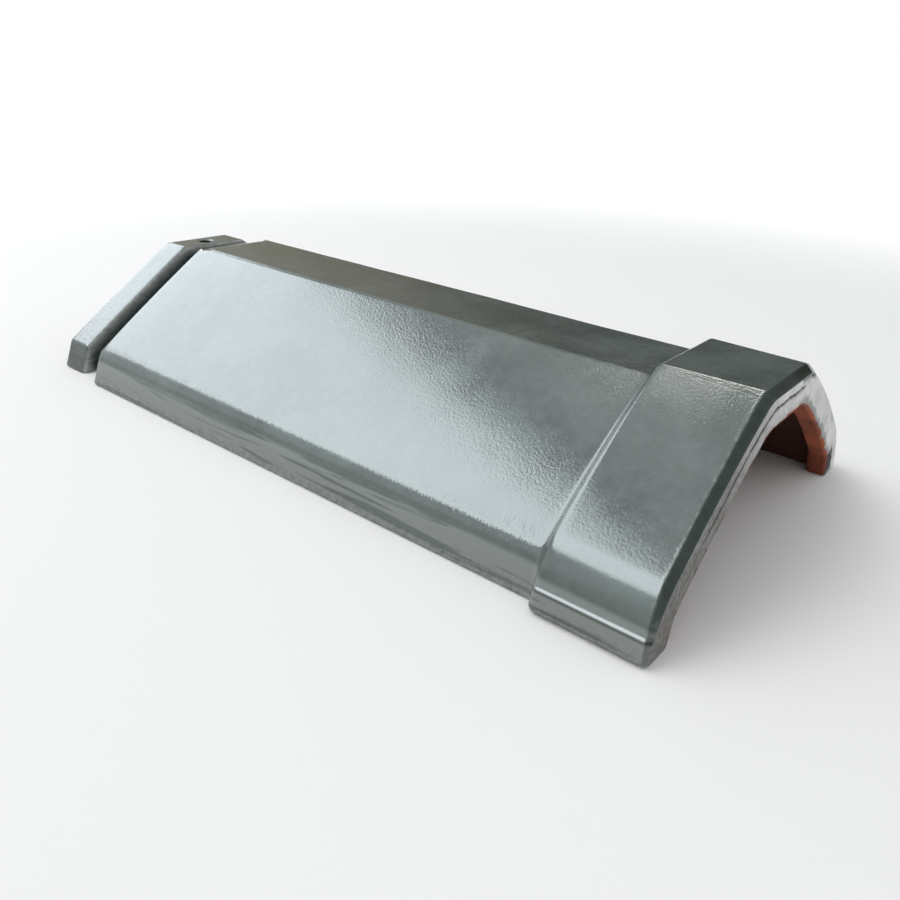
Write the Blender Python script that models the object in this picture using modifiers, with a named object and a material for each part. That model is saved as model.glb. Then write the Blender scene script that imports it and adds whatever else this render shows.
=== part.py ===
"""Angular interlocking ridge tile: one piece of glazed, fired clay.

The tile is a long trapezoidal arch that stands on two feet. Its left end is a
spigot with a rib and a cross groove, and its right end is a raised collar with
a lip and a recess under it, so that the collar of one tile hooks over the
spigot of the next. X runs along the ridge from the spigot to the collar, Y runs
across it and Z is up, with the feet on Z = 0. Lengths are in metres.
"""

import math

import bmesh
import bpy
import numpy as np

# Overall sizes of the arch, measured on its body.
LENGTH = 0.410
BODY_HEIGHT = 0.073
TOP_WIDTH = 0.0496
EAVE_WIDTH = 0.201
EAVE_HEIGHT = 0.019
FOOT_WIDTH = 0.213
SLOPE_CROWN = 0.0024
WALL = 0.013

# Collar: its outside stands above the body, and a lip closes its mouth inside.
COLLAR_LENGTH = 0.053
COLLAR_RISE = 0.0070
STEP_LENGTH = 0.0071
MOUTH_ROUNDING = 0.006
LIP_LENGTH = 0.010
LIP_THICKNESS = 0.0178
BAND_HEIGHT = 0.0105
BAND_PROUD = 0.0007
BAND_EDGE = 0.0008
BAND_ROUNDING = 0.0025

# Spigot: a rib at the end, then a groove in which the next collar's lip lies.
RIB_WIDTH = 0.0205
GROOVE_WIDTH = 0.0192
SPIGOT_DROP = 0.0038
SPIGOT_WALL = 0.008
GROOVE_DRAFT = 0.0007

# Play between one tile's spigot and the next tile's collar.
LAP_CLEARANCE = 0.0015
RECESS_END_PLAY = 0.0025

# Ramps on the underside, where the wall changes its thickness.
SPIGOT_RAMP = 0.014
RECESS_RAMP = 0.014

# Nail hole through the middle of the rib.
NAIL_HOLE_DIAMETER = 0.008
NAIL_HOLE_SETBACK = 0.010

# Roundings of the cross section, on the body and on the collar.
ARRIS_RADIUS = 0.0035
COLLAR_ARRIS_RADIUS = 0.006
EAVE_RADIUS = 0.008
COLLAR_EAVE_RADIUS = 0.014
FOOT_RADIUS = 0.0008
COLLAR_FOOT_RADIUS = 0.003
INNER_ARRIS_RADIUS = 0.010
INNER_EAVE_RADIUS = 0.008
INNER_FOOT_RADIUS = 0.0015

# Roundings of the section along the ridge.
EDGE_RADIUS = 0.0018
GROOVE_RADIUS = 0.0012
STEP_RADIUS = 0.005
RAMP_RADIUS = 0.004
LIP_RADIUS = 0.0012

# Facets of the roundings and of the crowned slope.
ARRIS_FACETS = 4
EAVE_FACETS = 5
FOOT_FACETS = 2
SLOPE_FACETS = 6
EDGE_FACETS = 3
INSIDE_FACETS = 2
HOLE_FACETS = 24
STATION_SPACING = 0.00025

# Places along the ridge and offsets from the body's outer face.
SPIGOT_LENGTH = RIB_WIDTH + GROOVE_WIDTH
STEP_START = LENGTH - COLLAR_LENGTH
STEP_END = STEP_START + STEP_LENGTH
LIP_START = LENGTH - LIP_LENGTH
LAPPED_RIB_START = LIP_START - (GROOVE_WIDTH - LIP_LENGTH) / 2 - RIB_WIDTH
RECESS_START = LAPPED_RIB_START - RECESS_END_PLAY
RIB_OFFSET = -SPIGOT_DROP
LIP_INNER_OFFSET = COLLAR_RISE - LIP_THICKNESS
GROOVE_OFFSET = LIP_INNER_OFFSET - LAP_CLEARANCE
SPIGOT_INNER_OFFSET = GROOVE_OFFSET - SPIGOT_WALL
RECESS_OFFSET = RIB_OFFSET + LAP_CLEARANCE
BAND_OFFSET = COLLAR_RISE + BAND_PROUD

GLAZE_COLOUR = (0.16, 0.21, 0.20, 1.0)
GLAZE_ROUGHNESS = 0.18


def clear_scene():
    for obj in list(bpy.data.objects):
        bpy.data.objects.remove(obj, do_unlink=True)


def make_collection(name):
    collection = bpy.data.collections.new(name)
    bpy.context.scene.collection.children.link(collection)
    return collection


def glaze_material():
    material = bpy.data.materials.new("green_grey_glaze")
    material.use_nodes = True
    shader = material.node_tree.nodes["Principled BSDF"]
    shader.inputs["Base Color"].default_value = GLAZE_COLOUR
    shader.inputs["Roughness"].default_value = GLAZE_ROUGHNESS
    shader.inputs["Metallic"].default_value = 0.0
    return material


def rounded_corner(before, corner, after, radius, facets):
    """Points of the arc that rounds a corner between two straight lines."""
    room = min(np.linalg.norm(before - corner), np.linalg.norm(after - corner))
    to_before = (before - corner) / np.linalg.norm(before - corner)
    to_after = (after - corner) / np.linalg.norm(after - corner)
    turn = math.pi - math.acos(float(np.clip(to_before @ to_after, -1.0, 1.0)))
    tangent = min(radius * math.tan(turn / 2), room)
    arc_radius = tangent / math.tan(turn / 2)
    bisector = to_before + to_after
    centre = corner + bisector / np.linalg.norm(bisector) * math.hypot(arc_radius, tangent)
    start = corner + to_before * tangent - centre
    side = (corner - centre) / np.linalg.norm(corner - centre)
    across = start - side * (start @ side)
    across = across / np.linalg.norm(across)
    angles = np.linspace(turn / 2, -turn / 2, facets + 1)
    return [centre + arc_radius * (side * math.cos(a) + across * math.sin(a)) for a in angles]


def rounded_line(corners, facets):
    """A line through (x, offset, radius) corners, with its inner corners rounded."""
    points = [np.array(corner[:2]) for corner in corners]
    middles = [(start + end) / 2 for start, end in zip(points, points[1:])]
    middles[0], middles[-1] = points[0], points[-1]
    line = [points[0]]
    for index in range(1, len(points) - 1):
        line += rounded_corner(middles[index - 1], points[index], middles[index],
                               corners[index][2], facets)
    line.append(points[-1])
    return np.array(line)


def spigot_corners():
    """Outside of the rib, the groove and the body's end, from the left."""
    return [
        (0.0, RIB_OFFSET - EDGE_RADIUS, 0.0),
        (0.0, RIB_OFFSET, EDGE_RADIUS),
        (RIB_WIDTH, RIB_OFFSET, EDGE_RADIUS),
        (RIB_WIDTH + GROOVE_DRAFT, GROOVE_OFFSET, GROOVE_RADIUS),
        (SPIGOT_LENGTH - GROOVE_DRAFT, GROOVE_OFFSET, GROOVE_RADIUS),
        (SPIGOT_LENGTH, 0.0, EDGE_RADIUS),
        (STEP_START, 0.0, STEP_RADIUS),
    ]


def outer_section():
    """Outside along the ridge, above the collar's foot band."""
    return rounded_line(spigot_corners() + [
        (STEP_END, COLLAR_RISE, STEP_RADIUS),
        (LENGTH, COLLAR_RISE, MOUTH_ROUNDING),
        (LENGTH, COLLAR_RISE - MOUTH_ROUNDING, 0.0),
    ], EDGE_FACETS)


def band_section():
    """Outside along the ridge, on the collar's foot band."""
    return rounded_line(spigot_corners() + [
        (STEP_END, BAND_OFFSET, STEP_RADIUS),
        (LENGTH, BAND_OFFSET, BAND_ROUNDING),
        (LENGTH, BAND_OFFSET - BAND_ROUNDING, 0.0),
    ], EDGE_FACETS)


def inner_section():
    """Underside along the ridge: spigot, body, recess and lip."""
    return rounded_line([
        (0.0, SPIGOT_INNER_OFFSET, 0.0),
        (SPIGOT_LENGTH, SPIGOT_INNER_OFFSET, RAMP_RADIUS),
        (SPIGOT_LENGTH + SPIGOT_RAMP, -WALL, RAMP_RADIUS),
        (RECESS_START - RECESS_RAMP, -WALL, RAMP_RADIUS),
        (RECESS_START, RECESS_OFFSET, RAMP_RADIUS),
        (LIP_START - GROOVE_DRAFT, RECESS_OFFSET, LIP_RADIUS),
        (LIP_START, LIP_INNER_OFFSET, LIP_RADIUS),
        (LENGTH, LIP_INNER_OFFSET, LIP_RADIUS),
        (LENGTH, LIP_INNER_OFFSET + LIP_RADIUS, 0.0),
    ], INSIDE_FACETS)


def offset_at(section, place):
    """Offset of a section at a place; its ends step straight down the end face."""
    if place <= 0.0:
        return section[0][1]
    if place >= LENGTH:
        return section[-1][1]
    inside = section[(section[:, 0] > 0.0) & (section[:, 0] < LENGTH)]
    return float(np.interp(place, inside[:, 0], inside[:, 1]))


def across_step(place, on_body, on_collar):
    """A size that changes from the body's to the collar's over the step."""
    return float(np.interp(place, [STEP_START, STEP_END], [on_body, on_collar]))


def meet(line_a, line_b):
    """Point where two lines cross, each given as a normal and its distance."""
    normals = np.array([line_a[0], line_b[0]])
    distances = np.array([line_a[1], line_b[1]])
    return np.linalg.solve(normals, distances)


def outline_corners(offset):
    """Arris, eave and foot of half an arch whose faces are moved out by an offset."""
    arris = np.array([TOP_WIDTH / 2, BODY_HEIGHT])
    eave = np.array([EAVE_WIDTH / 2, EAVE_HEIGHT])
    foot = np.array([FOOT_WIDTH / 2, 0.0])
    lines = []
    for start, end in ((arris, eave), (eave, foot)):
        along = (end - start) / np.linalg.norm(end - start)
        normal = np.array([-along[1], along[0]])
        lines.append((normal, normal @ start + offset))
    top = (np.array([0.0, 1.0]), BODY_HEIGHT + offset)
    ground = (np.array([0.0, 1.0]), 0.0)
    return meet(top, lines[0]), meet(lines[0], lines[1]), meet(lines[1], ground)


def crowned_slope(arris, eave, facets):
    """Points of the slope between the arris and the eave, with its slight crown."""
    along = eave - arris
    normal = np.array([-along[1], along[0]]) / np.linalg.norm(along)
    shares = np.linspace(0.0, 1.0, facets + 1)
    return [arris + along * t + normal * SLOPE_CROWN * 4 * t * (1 - t) for t in shares]


def half_outline(offset, arris_radius, eave_radius, facets_eave):
    """Half an arch from the middle of its top to the eave's rounding, and its foot."""
    arris, eave, foot = outline_corners(offset)
    slope = crowned_slope(arris, eave, SLOPE_FACETS)
    middle = np.array([0.0, arris[1]])
    line = [middle]
    line += rounded_corner(middle, arris, slope[1], arris_radius, ARRIS_FACETS)
    line += slope[1:-1]
    line += rounded_corner(slope[-2], eave, foot, eave_radius, facets_eave)
    return line, eave, foot


def point_at_height(eave, foot, height):
    """Point of the skirt at a height above the ground."""
    return foot + (eave - foot) * height / (eave[1] - foot[1])


def outer_half(place, offset, band_offset):
    """Outside of half a ring, from the middle of the top to the foot."""
    arris_radius = across_step(place, ARRIS_RADIUS, COLLAR_ARRIS_RADIUS)
    eave_radius = across_step(place, EAVE_RADIUS, COLLAR_EAVE_RADIUS)
    foot_radius = across_step(place, FOOT_RADIUS, COLLAR_FOOT_RADIUS)
    line, eave, foot = half_outline(offset, arris_radius, eave_radius, EAVE_FACETS)
    line.append(point_at_height(eave, foot, BAND_HEIGHT + BAND_EDGE))
    band_eave, band_foot = outline_corners(band_offset)[1:]
    band_top = point_at_height(band_eave, band_foot, BAND_HEIGHT)
    line.append(band_top)
    line += rounded_corner(band_top, band_foot, np.array([0.0, 0.0]), foot_radius, FOOT_FACETS)
    return line


def inner_half(offset):
    """Underside of half a ring, from the middle of the top to the foot."""
    line, eave, foot = half_outline(offset, INNER_ARRIS_RADIUS, INNER_EAVE_RADIUS,
                                    EAVE_FACETS + 2)
    far = np.array([FOOT_WIDTH, 0.0])
    line += rounded_corner(eave, foot, far, INNER_FOOT_RADIUS, FOOT_FACETS)
    return line


def stations(sections):
    """Places along the ridge where rings stand, without near doubles."""
    places = sorted(float(x) for section in sections for x in section[:, 0])
    kept = [0.0]
    for place in places:
        if place - kept[-1] > STATION_SPACING and LENGTH - place > STATION_SPACING:
            kept.append(place)
    kept.append(LENGTH)
    return kept


def lofted_half():
    """Half of the tile as a loft of rings, open on the plane of symmetry."""
    outer, band, inner = outer_section(), band_section(), inner_section()
    mesh = bmesh.new()
    rings = []
    for place in stations((outer, band, inner)):
        outside = outer_half(place, offset_at(outer, place), offset_at(band, place))
        inside = inner_half(offset_at(inner, place))
        ring = []
        for across, height in outside + inside[::-1]:
            ring.append(mesh.verts.new((place - LENGTH / 2, across, height)))
        rings.append(ring)
    for left, right in zip(rings, rings[1:]):
        for index in range(len(left) - 1):
            mesh.faces.new((left[index], right[index], right[index + 1], left[index + 1]))
    half = len(rings[0]) // 2
    for ring, flipped in ((rings[0], False), (rings[-1], True)):
        for index in range(half - 1):
            face = [ring[index], ring[index + 1], ring[-2 - index], ring[-1 - index]]
            mesh.faces.new(face[::-1] if flipped else face)
    return mesh


def add_mesh_object(name, mesh, collection):
    data = bpy.data.meshes.new(name)
    mesh.to_mesh(data)
    mesh.free()
    obj = bpy.data.objects.new(name, data)
    collection.objects.link(obj)
    return obj


def nail_hole_cutter(collection):
    mesh = bmesh.new()
    bmesh.ops.create_cone(mesh, cap_ends=True, segments=HOLE_FACETS,
                          radius1=NAIL_HOLE_DIAMETER / 2, radius2=NAIL_HOLE_DIAMETER / 2,
                          depth=BODY_HEIGHT)
    cutter = add_mesh_object("nail_hole_cutter", mesh, collection)
    cutter.location = (NAIL_HOLE_SETBACK - LENGTH / 2, 0.0, BODY_HEIGHT)
    cutter.hide_render = True
    cutter.display_type = "WIRE"
    return cutter


def ridge_tile(parts, cutters):
    """The tile: a mirrored loft with the nail hole cut through its rib."""
    tile = add_mesh_object("ridge_tile", lofted_half(), parts)
    mirror = tile.modifiers.new("other_half", "MIRROR")
    mirror.use_axis = (False, True, False)
    mirror.merge_threshold = 0.00001
    hole = tile.modifiers.new("nail_hole", "BOOLEAN")
    hole.operation = "DIFFERENCE"
    hole.solver = "EXACT"
    hole.object = nail_hole_cutter(cutters)
    tile.data.materials.append(glaze_material())
    tile.data.shade_smooth()
    tile.data.set_sharp_from_angle(angle=math.radians(40))
    return tile


def build():
    clear_scene()
    parts = make_collection("ridge_tile_parts")
    cutters = make_collection("cutters")
    ridge_tile(parts, cutters)


build()
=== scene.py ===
"""A glazed clay ridge tile in a plain white studio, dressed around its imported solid."""

import math

import bmesh
import bpy
import numpy as np
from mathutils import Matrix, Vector


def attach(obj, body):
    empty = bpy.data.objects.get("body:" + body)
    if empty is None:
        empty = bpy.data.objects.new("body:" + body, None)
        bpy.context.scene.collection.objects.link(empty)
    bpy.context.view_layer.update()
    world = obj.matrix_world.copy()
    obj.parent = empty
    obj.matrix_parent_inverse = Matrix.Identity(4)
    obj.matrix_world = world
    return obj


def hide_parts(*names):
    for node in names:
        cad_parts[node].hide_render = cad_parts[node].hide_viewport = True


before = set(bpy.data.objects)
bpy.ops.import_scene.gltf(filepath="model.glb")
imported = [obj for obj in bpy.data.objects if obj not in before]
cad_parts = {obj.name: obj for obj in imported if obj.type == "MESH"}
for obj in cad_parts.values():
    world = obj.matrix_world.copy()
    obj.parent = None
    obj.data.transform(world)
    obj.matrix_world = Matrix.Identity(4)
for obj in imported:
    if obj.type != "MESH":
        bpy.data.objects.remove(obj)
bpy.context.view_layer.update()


# The clay ridge tile.
# One piece of red clay, pressed in a mould as a trapezoidal arch with a ribbed and grooved spigot
# at its left end and a raised collar at its right end, then glazed outside and fired once.

# Sizes are in millimetres: places count from the spigot's end, and levels from the body's skin.
MM = 0.001
TILE_LENGTH = 410.0
BODY_HEIGHT = 73.0
TOP_WIDTH = 49.6
EAVE_WIDTH = 201.0
EAVE_HEIGHT = 19.0
FOOT_WIDTH = 213.0
SLOPE_CROWN = 2.4
WALL = 13.0

# The spigot: a rib, a groove that takes the next tile's lip, and a thicker wall under both.
RIB_WIDTH = 20.5
GROOVE_WIDTH = 19.2
RIB_LEVEL = -3.8
GROOVE_LEVEL = -12.3
GROOVE_DRAFT = 0.7
SPIGOT_INSIDE = -20.3
SPIGOT_RAMP = 14.0
BODY_START = RIB_WIDTH + GROOVE_WIDTH
NAIL_HOLE_WIDTH = 8.0
NAIL_HOLE_PLACE = 10.0

# The collar: a soft step up, a lip and a recess inside, and a proud band along each foot.
COLLAR_START = 357.0
COLLAR_STEP = 4.2
COLLAR_RISE = 7.0
LIP_START = 400.0
LIP_INSIDE = -10.8
RECESS_START = 372.4
RECESS_RAMP = 14.0
RECESS_INSIDE = -2.3
BAND_HEIGHT = 11.2
BAND_LEDGE = 1.5
BAND_PROUD = 0.8

# Roundings that show in a cut along the ridge.
SPIGOT_EDGE_RADIUS = 1.8
RIB_EDGE_RADIUS = 3.2
GROOVE_FLOOR_RADIUS = 1.6
BODY_END_RADIUS = 1.5
TOP_END_SLANT = 3.0
TOP_END_RADIUS = 7.0
STEP_FOOT_RADIUS = 3.2
STEP_SHOULDER_RADIUS = 3.4
SPIGOT_INSIDE_RADIUS = 1.2
RAMP_RADIUS = 4.0
RECESS_CORNER_RADIUS = 1.6
LIP_BACK_RADIUS = 2.4
LIP_EDGE_RADIUS = 1.4

# How finely the mesh is divided along the ridge and around each ring.
OUTER_FACETS = 7
INNER_FACETS = 5
MOUTH_ZONE, MOUTH_STEP = 7.0, 0.34
HOLE_ZONE, HOLE_STEP = (3.0, 17.5), 1.2
LONGEST_STEP = 3.2
SHORTEST_STEP = 0.22
TOP_POINTS = 22
CREASE_POINTS = 6
SLOPE_POINTS = 36
EAVE_POINTS = 12
SKIRT_SHARES = (0, .05, .09, .12, .15, .18, .22, .28, .34, .40, .43, .455, .475, .495, .515, .54,
                .58, .66, .76, .88)
FOOT_POINTS = 5


def unit(vector):
    return np.array(vector, float) / np.linalg.norm(vector)


arris = np.array([TOP_WIDTH / 2, BODY_HEIGHT])
eave = np.array([EAVE_WIDTH / 2, EAVE_HEIGHT])
foot = np.array([FOOT_WIDTH / 2, 0.0])
along_top = np.array([1.0, 0.0])
along_slope = unit(eave - arris)
along_skirt = unit(foot - eave)
slope_normal = np.array([-along_slope[1], along_slope[0]])
skirt_normal = np.array([-along_skirt[1], along_skirt[0]])
up = np.array([0.0, 1.0])

# How far each corner moves when its two faces rise by one millimetre.
arris_drift = np.linalg.solve([up, slope_normal], [1.0, 1.0])
eave_drift = np.linalg.solve([slope_normal, skirt_normal], [1.0, 1.0])
foot_drift = np.linalg.solve([skirt_normal, up], [1.0, 0.0])


def section_line(corners, facets):
    """A section along the ridge through (place, level, radius) corners, rounded at each corner."""
    points = [np.array(corner[:2], float) for corner in corners]
    middles = [(a + b) / 2 for a, b in zip(points, points[1:])]
    middles[0], middles[-1] = points[0], points[-1]
    line = [points[0]]
    for index in range(1, len(points) - 1):
        corner, radius = points[index], corners[index][2]
        before, after = middles[index - 1] - corner, middles[index] - corner
        room = min(np.linalg.norm(before), np.linalg.norm(after))
        before, after = unit(before), unit(after)
        turn = math.pi - math.acos(float(np.clip(before @ after, -1.0, 1.0)))
        tangent = min(radius * math.tan(turn / 2), room)
        radius = tangent / math.tan(turn / 2)
        centre = corner + unit(before + after) * math.hypot(radius, tangent)
        start, end = corner + before * tangent - centre, corner + after * tangent - centre
        for share in np.linspace(0.0, 1.0, facets + 1):
            spread = math.sin((1 - share) * turn) * start + math.sin(share * turn) * end
            line.append(centre + spread / math.sin(turn))
    line.append(points[-1])
    return np.array(line)


def outer_section(end_slant, end_radius):
    """The tile's outer section, with the slant and rounding of the body's end over the groove."""
    return section_line([
        (0.0, RIB_LEVEL - SPIGOT_EDGE_RADIUS, 0.0),
        (0.0, RIB_LEVEL, SPIGOT_EDGE_RADIUS),
        (RIB_WIDTH, RIB_LEVEL, RIB_EDGE_RADIUS),
        (RIB_WIDTH + GROOVE_DRAFT, GROOVE_LEVEL, GROOVE_FLOOR_RADIUS),
        (BODY_START - end_slant, GROOVE_LEVEL, GROOVE_FLOOR_RADIUS),
        (BODY_START + end_slant, 0.0, end_radius),
        (COLLAR_START, 0.0, STEP_FOOT_RADIUS),
        (COLLAR_START + COLLAR_STEP, COLLAR_RISE, STEP_SHOULDER_RADIUS),
        (TILE_LENGTH, COLLAR_RISE, 0.0),
    ], OUTER_FACETS)


outer_line = outer_section(GROOVE_DRAFT / 2, BODY_END_RADIUS)
outer_line_on_top = outer_section(TOP_END_SLANT, TOP_END_RADIUS)
inner_line = section_line([
    (0.0, SPIGOT_INSIDE + SPIGOT_INSIDE_RADIUS, 0.0),
    (0.0, SPIGOT_INSIDE, SPIGOT_INSIDE_RADIUS),
    (BODY_START, SPIGOT_INSIDE, RAMP_RADIUS),
    (BODY_START + SPIGOT_RAMP, -WALL, RAMP_RADIUS),
    (RECESS_START - RECESS_RAMP, -WALL, RAMP_RADIUS),
    (RECESS_START, RECESS_INSIDE, RAMP_RADIUS),
    (LIP_START - GROOVE_DRAFT, RECESS_INSIDE, RECESS_CORNER_RADIUS),
    (LIP_START, LIP_INSIDE, LIP_BACK_RADIUS),
    (TILE_LENGTH, LIP_INSIDE, LIP_EDGE_RADIUS),
    (TILE_LENGTH, LIP_INSIDE + LIP_EDGE_RADIUS, 0.0),
], INNER_FACETS)

mouth_places = list(np.arange(TILE_LENGTH - MOUTH_ZONE, TILE_LENGTH, MOUTH_STEP))
hole_places = list(np.arange(*HOLE_ZONE, HOLE_STEP))
wanted = sorted(list(outer_line[:, 0]) + list(inner_line[:, 0]) + mouth_places + hole_places)
places = [0.0]
for place in wanted:
    while place - places[-1] > LONGEST_STEP * 1.5:
        places.append(places[-1] + LONGEST_STEP)
    if place - places[-1] > SHORTEST_STEP and TILE_LENGTH - place > SHORTEST_STEP / 2:
        places.append(place)
places = np.array(places + [TILE_LENGTH])


def level_along(line):
    """Level of a section at every place; its ends step straight down the end faces."""
    inside = line[(line[:, 0] > 0.0) & (line[:, 0] < TILE_LENGTH)]
    levels = np.interp(places, inside[:, 0], inside[:, 1])
    levels[0], levels[-1] = line[0, 1], line[-1, 1]
    return levels


# Half a ring runs from the middle of the top down to the foot, in seven parts. Each point has its
# part and its share of the way along it.
RING_PARTS = range(7)
TOP, UPPER_CREASE, LOWER_CREASE, SLOPE, EAVE, SKIRT, FOOT = RING_PARTS
part_shares = {
    TOP: np.arange(TOP_POINTS) / TOP_POINTS,
    UPPER_CREASE: np.arange(CREASE_POINTS) / (CREASE_POINTS - 1),
    LOWER_CREASE: np.arange(CREASE_POINTS) / CREASE_POINTS,
    SLOPE: np.arange(SLOPE_POINTS) / SLOPE_POINTS,
    EAVE: np.arange(EAVE_POINTS) / EAVE_POINTS,
    SKIRT: SKIRT_SHARES,
    FOOT: np.arange(FOOT_POINTS) / (FOOT_POINTS - 1),
}
ring_points = np.array([(part, share) for part, shares in part_shares.items() for share in shares])
part_row, share_row = ring_points[:, 0], ring_points[:, 1]
HALF_RING = len(ring_points)


def around_corner(corner, arriving, leaving, radius, share):
    """Points of the arc that rounds a corner, from the arriving to the leaving direction."""
    turn = math.acos(float(np.clip(arriving @ leaving, -1.0, 1.0)))
    reach = math.tan(turn / 2)
    centre = unit(leaving - arriving) / math.cos(turn / 2)
    start, end = -arriving * reach - centre, leaving * reach - centre
    spread = (np.sin((1 - share) * turn)[..., None] * start
              + np.sin(share * turn)[..., None] * end) / math.sin(turn)
    return corner + radius[..., None] * (centre + spread)


def half_arch(level, arris_radius, crease_radius, eave_radius, foot_radius, foot_turn,
              crown_height):
    """Half of every ring: (places, points, 2), for levels and roundings per place and point.
    The foot turns inwards under the outer skin, at -1, and outwards under the inner one, at 1."""
    shares = np.broadcast_to(share_row, level.shape)
    zeros, ones = np.zeros(level.shape), np.ones(level.shape)
    at_arris = arris + level[..., None] * arris_drift
    at_eave = eave + level[..., None] * eave_drift
    at_foot = foot + level[..., None] * foot_drift
    arris_turn = math.acos(float(along_top @ along_slope))
    cut_back = (arris_radius * math.tan(arris_turn / 2))[..., None]
    along_bevel = unit(along_top + along_slope)
    arcs = {
        UPPER_CREASE: (at_arris - cut_back * along_top, along_top, along_bevel, crease_radius),
        LOWER_CREASE: (at_arris + cut_back * along_slope, along_bevel, along_slope, crease_radius),
        EAVE: (at_eave, along_slope, along_skirt, eave_radius),
        FOOT: (at_foot, along_skirt, np.array([foot_turn, 0.0]), foot_radius),
    }
    lines = {
        TOP: (at_arris * up, around_corner(*arcs[UPPER_CREASE], zeros)),
        SLOPE: (around_corner(*arcs[LOWER_CREASE], ones), around_corner(*arcs[EAVE], zeros)),
        SKIRT: (around_corner(*arcs[EAVE], ones), around_corner(*arcs[FOOT], zeros)),
    }
    points = np.zeros(level.shape + (2,))
    for part in RING_PARTS:
        if part in arcs:
            found = around_corner(*arcs[part], shares)
        else:
            start, end = lines[part]
            found = start + (end - start) * shares[..., None]
        chosen = part_row == part
        points[:, chosen] = found[:, chosen]
    down_slope = ((points - at_arris) @ along_slope) / ((at_eave - at_arris) @ along_slope)
    down_slope = np.clip(down_slope, 0.0, 1.0)
    crown = crown_height * 4 * down_slope * (1 - down_slope)
    return points + crown[..., None] * slope_normal


def blend_over(values, start, end):
    """0 before start, 1 after end, and a soft rise between them."""
    share = np.clip((values - start) / (end - start), 0.0, 1.0)
    return share * share * (3 - 2 * share)


def fade_over(values, start, end):
    """1 before start, 0 after end, and a soft fall between them."""
    return 1 - blend_over(values, start, end)


def peak_at(values, middle, width):
    """1 at the middle, falling softly to both sides."""
    return np.exp(-((values - middle) / width) ** 2)


def by_table(values, *rows):
    """Values looked up in rows of (value, result), in straight lines between them."""
    return np.interp(values, [row[0] for row in rows], [row[1] for row in rows])


def uneven(steps, level, *waves):
    """A level that goes up and down from step to step, by waves of (height, rate, start)."""
    total = np.full(steps.shape, level)
    for wave_height, rate, start in waves:
        total = total + wave_height * np.sin(steps * rate + start)
    return total


place_grid = np.repeat(places[:, None], HALF_RING, axis=1)
on_collar = blend_over(place_grid, COLLAR_START, COLLAR_START + COLLAR_STEP)
ring_way = part_row + share_row
RING_END = FOOT + 1

# The mouth's rounded edge: a bevel with a painted dark reflection, behind a thin uneven bead with
# a painted highlight.
BEVEL_SLANT, BEVEL_CURVE = 0.8, 1.25
BEAD_HEIGHT, BEAD_WIDTH, BEAD_BEHIND_BEVEL = 0.09, 0.6, 0.35
around = by_table(ring_way, (TOP, 0.0), (UPPER_CREASE, 0.05), (SLOPE, 0.1), (EAVE, 0.7),
                  (SKIRT, 0.85), (RING_END, 1.0))
mouth_width = by_table(around, (0.0, 4.1), (0.1, 4.1), (0.35, 3.7), (0.7, 3.4), (0.85, 2.6),
                       (0.92, 1.8), (1.0, 1.4))[None, :]
past = np.clip(place_grid - (TILE_LENGTH - mouth_width), 0.0, None) / mouth_width
mouth_drop = BEVEL_SLANT * mouth_width * past ** BEVEL_CURVE
bead_height = BEAD_HEIGHT * uneven(np.arange(HALF_RING), 0.55, (0.30, 0.9, 0.0), (0.25, 2.3, 1.0))
bead_height *= by_table(ring_way, (TOP, 0.2), (UPPER_CREASE, 0.5), (SLOPE, 1.0), (EAVE, 1.0),
                        (SKIRT, 0.3), (RING_END, 0.0))
bead_places = TILE_LENGTH - mouth_width - BEAD_BEHIND_BEVEL
bead = bead_height[None, :] * peak_at(place_grid, bead_places, BEAD_WIDTH)


def body_or_collar(body, collar):
    """One value on the body and another on the collar, blended over the step between them."""
    return body * (1 - on_collar) + collar * on_collar


on_top_share = by_table(ring_way, (TOP, 1.0), (UPPER_CREASE, 1.0), (SLOPE, 0.0))[None, :]
outer_level = (level_along(outer_line)[:, None] * (1 - on_top_share)
               + level_along(outer_line_on_top)[:, None] * on_top_share)
outside = half_arch(
    outer_level - mouth_drop + bead,
    arris_radius=body_or_collar(
        by_table(place_grid, (BODY_START, 4.6), (150.0, 4.0), (COLLAR_START, 2.2)),
        by_table(place_grid, (COLLAR_START, 2.4), (TILE_LENGTH, 8.2))),
    crease_radius=body_or_collar(
        0.7, by_table(place_grid, (COLLAR_START, 2.4), (TILE_LENGTH, 6.0))),
    eave_radius=body_or_collar(
        by_table(place_grid, (0.0, 4.0), (RIB_WIDTH + 4.0, 4.0), (BODY_START + 8.0, 12.0)), 30.0),
    foot_radius=body_or_collar(1.2, 3.0),
    foot_turn=-1.0,
    crown_height=by_table(place_grid, (0.0, 0.3), (30.0, 0.5), (60.0, 1.5), (140.0, SLOPE_CROWN)))
everywhere = np.ones(place_grid.shape)
inside = half_arch(
    np.repeat(level_along(inner_line)[:, None], HALF_RING, axis=1),
    arris_radius=10.0 * everywhere, crease_radius=18.0 * everywhere, eave_radius=8.0 * everywhere,
    foot_radius=1.5 * everywhere, foot_turn=1.0, crown_height=SLOPE_CROWN * everywhere)

# Fold along the body's skirts and proud band along the collar's feet.
FOLD_PROUD, FOLD_TOP = 0.18, (10.5, 14.0)
height = outside[..., 1]
on_body = blend_over(place_grid, BODY_START, BODY_START + 4.0) * (1 - on_collar)
fold = FOLD_PROUD * fade_over(height, *FOLD_TOP)
under_ledge = np.clip((BAND_HEIGHT - height) / BAND_LEDGE, 0.0, 1.0)
band = BAND_PROUD * under_ledge ** 2 * (3 - 2 * under_ledge)
skirt_shift = on_body * fold + on_collar * band
skirt_shift *= (part_row >= EAVE)[None, :]
outside = outside + skirt_shift[..., None] * skirt_normal
outside[..., 1] = np.maximum(outside[..., 1], 0.0)

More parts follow.
